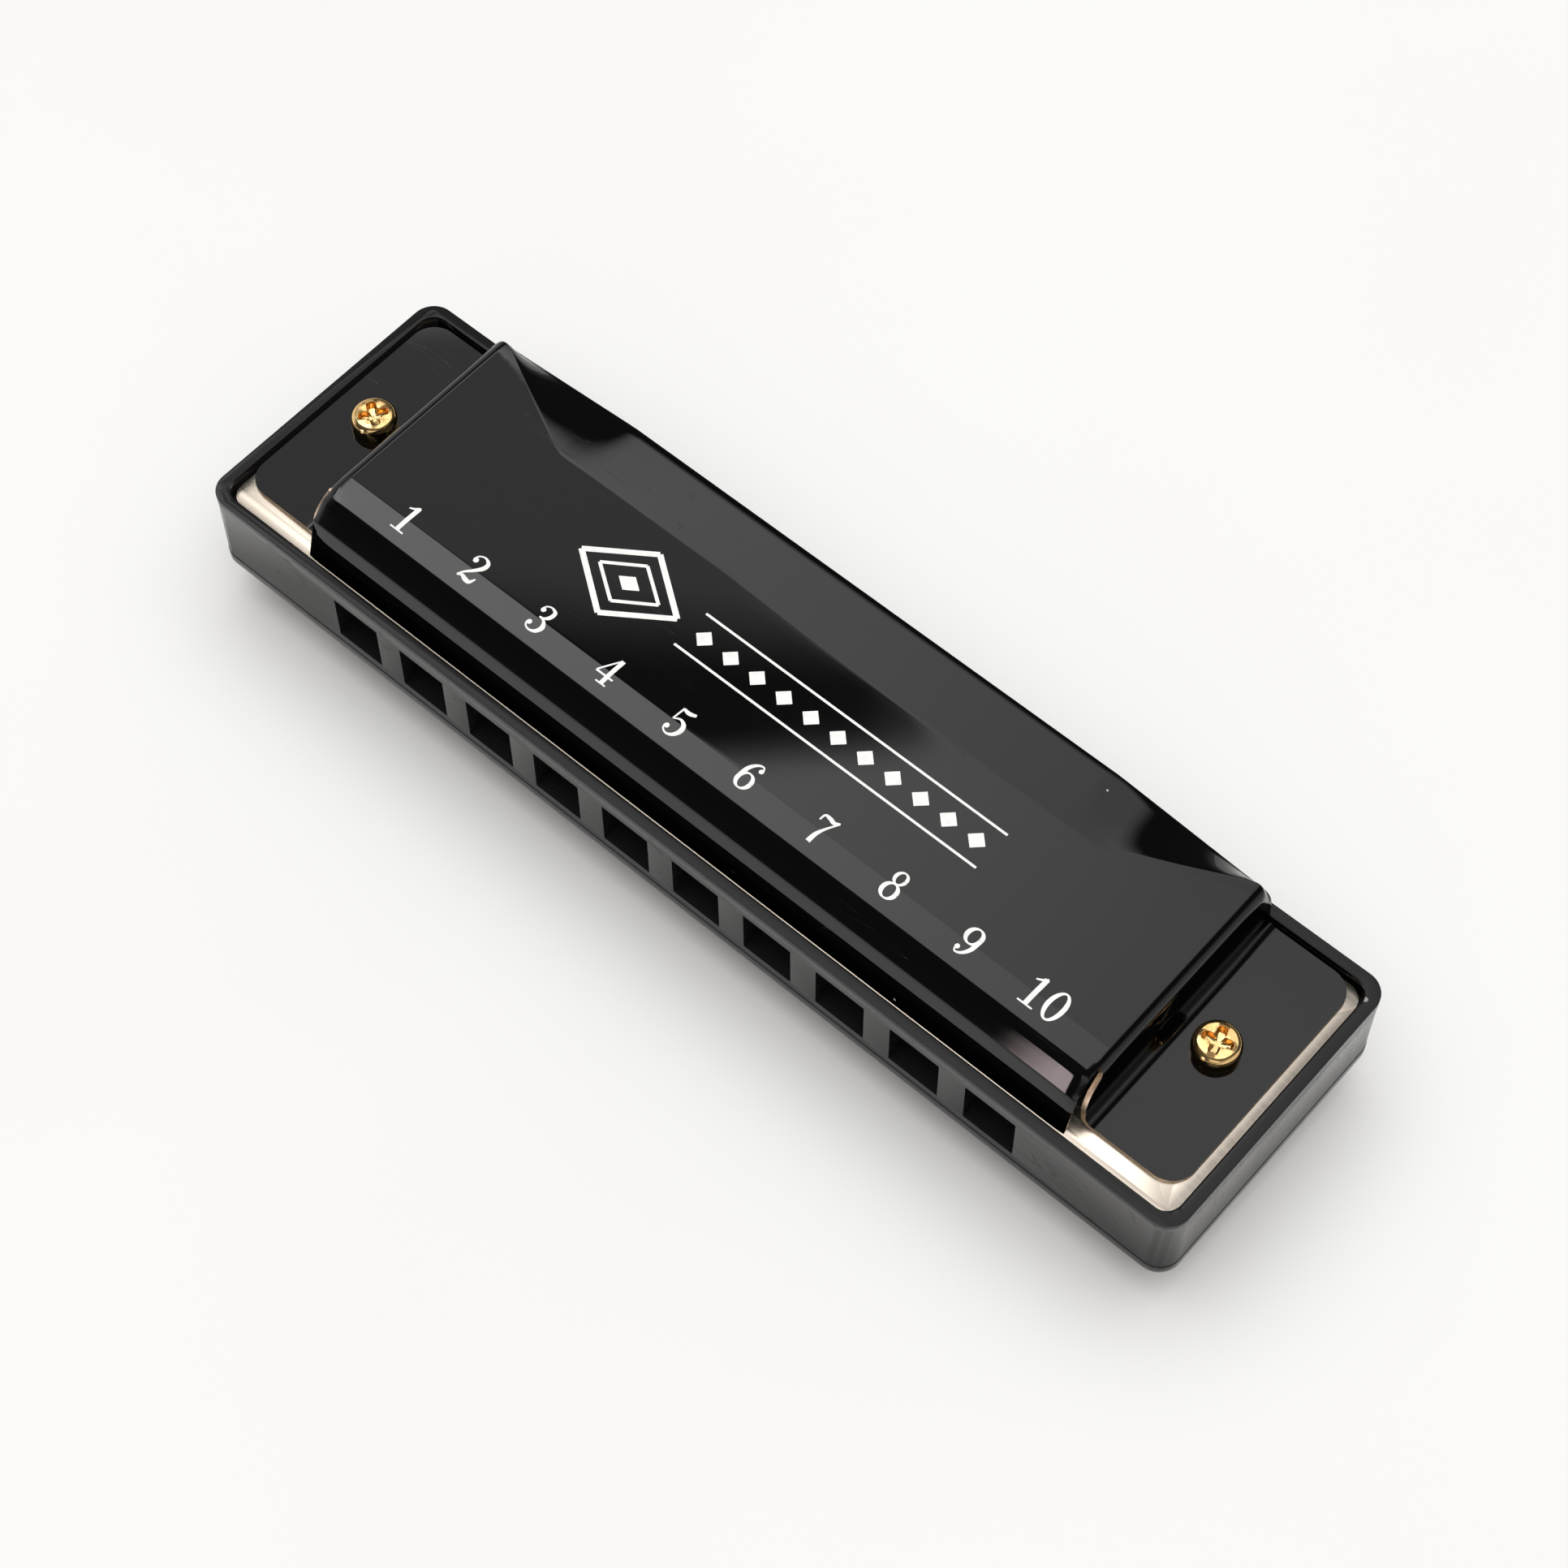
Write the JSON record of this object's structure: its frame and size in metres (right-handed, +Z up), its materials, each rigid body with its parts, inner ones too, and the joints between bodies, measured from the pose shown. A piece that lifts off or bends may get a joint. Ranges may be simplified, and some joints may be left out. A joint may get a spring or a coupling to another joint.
{
  "type": "harmonica",
  "caption": "Small diatonic harmonica: a recessed comb between two reed plates with free reeds, closed by two flanged sheet covers and through bolts.",
  "frame": {"origin": "middle of the footprint, on the surface that the instrument lies on", "axes": "+X along the row of holes from 1 to 10, -Y out of the mouth side, +Z up through the numbered cover"},
  "size_m": [0.102, 0.0272, 0.0188],
  "materials": {
    "comb_plastic": "moulded black plastic, semi-gloss",
    "plate_brass": "rolled pale brass, brushed",
    "reed_brass": "filed spring brass",
    "pin_brass": "turned brass, dull",
    "cover_lacquer": "gloss black lacquer on pressed sheet steel, bare at the cut edges",
    "gold_plate": "polished, gold plated"
  },
  "bodies": {
    "harmonica": {"comb": "comb_plastic", "upper_reed_plate": "plate_brass", "lower_reed_plate": "plate_brass", "blow_reed_pads": "reed_brass", "draw_reed_pads": "reed_brass", "blow_reed_rivets": "pin_brass", "draw_reed_rivets": "pin_brass", "upper_plate_pins": "pin_brass", "lower_plate_pins": "pin_brass", "upper_cover": "cover_lacquer", "lower_cover": "cover_lacquer", "cover_bolts": "gold_plate", "cover_nuts": "gold_plate"},
    "blow_1": {"blow_reed_1": "reed_brass"},
    "blow_2": {"blow_reed_2": "reed_brass"},
    "blow_3": {"blow_reed_3": "reed_brass"},
    "blow_4": {"blow_reed_4": "reed_brass"},
    "blow_5": {"blow_reed_5": "reed_brass"},
    "blow_6": {"blow_reed_6": "reed_brass"},
    "blow_7": {"blow_reed_7": "reed_brass"},
    "blow_8": {"blow_reed_8": "reed_brass"},
    "blow_9": {"blow_reed_9": "reed_brass"},
    "blow_10": {"blow_reed_10": "reed_brass"},
    "draw_1": {"draw_reed_1": "reed_brass"},
    "draw_2": {"draw_reed_2": "reed_brass"},
    "draw_3": {"draw_reed_3": "reed_brass"},
    "draw_4": {"draw_reed_4": "reed_brass"},
    "draw_5": {"draw_reed_5": "reed_brass"},
    "draw_6": {"draw_reed_6": "reed_brass"},
    "draw_7": {"draw_reed_7": "reed_brass"},
    "draw_8": {"draw_reed_8": "reed_brass"},
    "draw_9": {"draw_reed_9": "reed_brass"},
    "draw_10": {"draw_reed_10": "reed_brass"}
  },
  "joints": [
    {"name": "blow_1_swing", "type": "hinge", "parent": "harmonica", "child": "blow_1", "pos_m": [-0.03375, 0.0056, 0.01176], "axis": [-1, 0, 0], "range_deg": [-3.5, 3.5], "stiffness_Nm_per_rad": 0.002},
    {"name": "blow_2_swing", "type": "hinge", "parent": "harmonica", "child": "blow_2", "pos_m": [-0.02625, 0.00487, 0.01176], "axis": [-1, 0, 0], "range_deg": [-3.5, 3.5], "stiffness_Nm_per_rad": 0.0017},
    {"name": "blow_3_swing", "type": "hinge", "parent": "harmonica", "child": "blow_3", "pos_m": [-0.01875, 0.00413, 0.01176], "axis": [-1, 0, 0], "range_deg": [-3.5, 3.5], "stiffness_Nm_per_rad": 0.0015},
    {"name": "blow_4_swing", "type": "hinge", "parent": "harmonica", "child": "blow_4", "pos_m": [-0.01125, 0.0034, 0.01176], "axis": [-1, 0, 0], "range_deg": [-3.5, 3.5], "stiffness_Nm_per_rad": 0.0012},
    {"name": "blow_5_swing", "type": "hinge", "parent": "harmonica", "child": "blow_5", "pos_m": [-0.00375, 0.00267, 0.01176], "axis": [-1, 0, 0], "range_deg": [-3.5, 3.5], "stiffness_Nm_per_rad": 0.001},
    {"name": "blow_6_swing", "type": "hinge", "parent": "harmonica", "child": "blow_6", "pos_m": [0.00375, 0.00193, 0.01176], "axis": [-1, 0, 0], "range_deg": [-3.5, 3.5], "stiffness_Nm_per_rad": 0.00087},
    {"name": "blow_7_swing", "type": "hinge", "parent": "harmonica", "child": "blow_7", "pos_m": [0.01125, 0.0012, 0.01176], "axis": [-1, 0, 0], "range_deg": [-3.5, 3.5], "stiffness_Nm_per_rad": 0.00072},
    {"name": "blow_8_swing", "type": "hinge", "parent": "harmonica", "child": "blow_8", "pos_m": [0.01875, 0.00047, 0.01176], "axis": [-1, 0, 0], "range_deg": [-3.5, 3.5], "stiffness_Nm_per_rad": 0.00059},
    {"name": "blow_9_swing", "type": "hinge", "parent": "harmonica", "child": "blow_9", "pos_m": [0.02625, -0.00027, 0.01176], "axis": [-1, 0, 0], "range_deg": [-3.5, 3.5], "stiffness_Nm_per_rad": 0.00047},
    {"name": "blow_10_swing", "type": "hinge", "parent": "harmonica", "child": "blow_10", "pos_m": [0.03375, -0.001, 0.01176], "axis": [-1, 0, 0], "range_deg": [-3.5, 3.5], "stiffness_Nm_per_rad": 0.00037},
    {"name": "draw_1_swing", "type": "hinge", "parent": "harmonica", "child": "draw_1", "pos_m": [-0.03375, -0.0084, 0.00586], "axis": [1, 0, 0], "range_deg": [-3.5, 3.5], "stiffness_Nm_per_rad": 0.002},
    {"name": "draw_2_swing", "type": "hinge", "parent": "harmonica", "child": "draw_2", "pos_m": [-0.02625, -0.0084, 0.00586], "axis": [1, 0, 0], "range_deg": [-3.5, 3.5], "stiffness_Nm_per_rad": 0.0017},
    {"name": "draw_3_swing", "type": "hinge", "parent": "harmonica", "child": "draw_3", "pos_m": [-0.01875, -0.0084, 0.00586], "axis": [1, 0, 0], "range_deg": [-3.5, 3.5], "stiffness_Nm_per_rad": 0.0015},
    {"name": "draw_4_swing", "type": "hinge", "parent": "harmonica", "child": "draw_4", "pos_m": [-0.01125, -0.0084, 0.00586], "axis": [1, 0, 0], "range_deg": [-3.5, 3.5], "stiffness_Nm_per_rad": 0.0012},
    {"name": "draw_5_swing", "type": "hinge", "parent": "harmonica", "child": "draw_5", "pos_m": [-0.00375, -0.0084, 0.00586], "axis": [1, 0, 0], "range_deg": [-3.5, 3.5], "stiffness_Nm_per_rad": 0.001},
    {"name": "draw_6_swing", "type": "hinge", "parent": "harmonica", "child": "draw_6", "pos_m": [0.00375, -0.0084, 0.00586], "axis": [1, 0, 0], "range_deg": [-3.5, 3.5], "stiffness_Nm_per_rad": 0.00087},
    {"name": "draw_7_swing", "type": "hinge", "parent": "harmonica", "child": "draw_7", "pos_m": [0.01125, -0.0084, 0.00586], "axis": [1, 0, 0], "range_deg": [-3.5, 3.5], "stiffness_Nm_per_rad": 0.00072},
    {"name": "draw_8_swing", "type": "hinge", "parent": "harmonica", "child": "draw_8", "pos_m": [0.01875, -0.0084, 0.00586], "axis": [1, 0, 0], "range_deg": [-3.5, 3.5], "stiffness_Nm_per_rad": 0.00059},
    {"name": "draw_9_swing", "type": "hinge", "parent": "harmonica", "child": "draw_9", "pos_m": [0.02625, -0.0084, 0.00586], "axis": [1, 0, 0], "range_deg": [-3.5, 3.5], "stiffness_Nm_per_rad": 0.00047},
    {"name": "draw_10_swing", "type": "hinge", "parent": "harmonica", "child": "draw_10", "pos_m": [0.03375, -0.0084, 0.00586], "axis": [1, 0, 0], "range_deg": [-3.5, 3.5], "stiffness_Nm_per_rad": 0.00037}
  ]
}
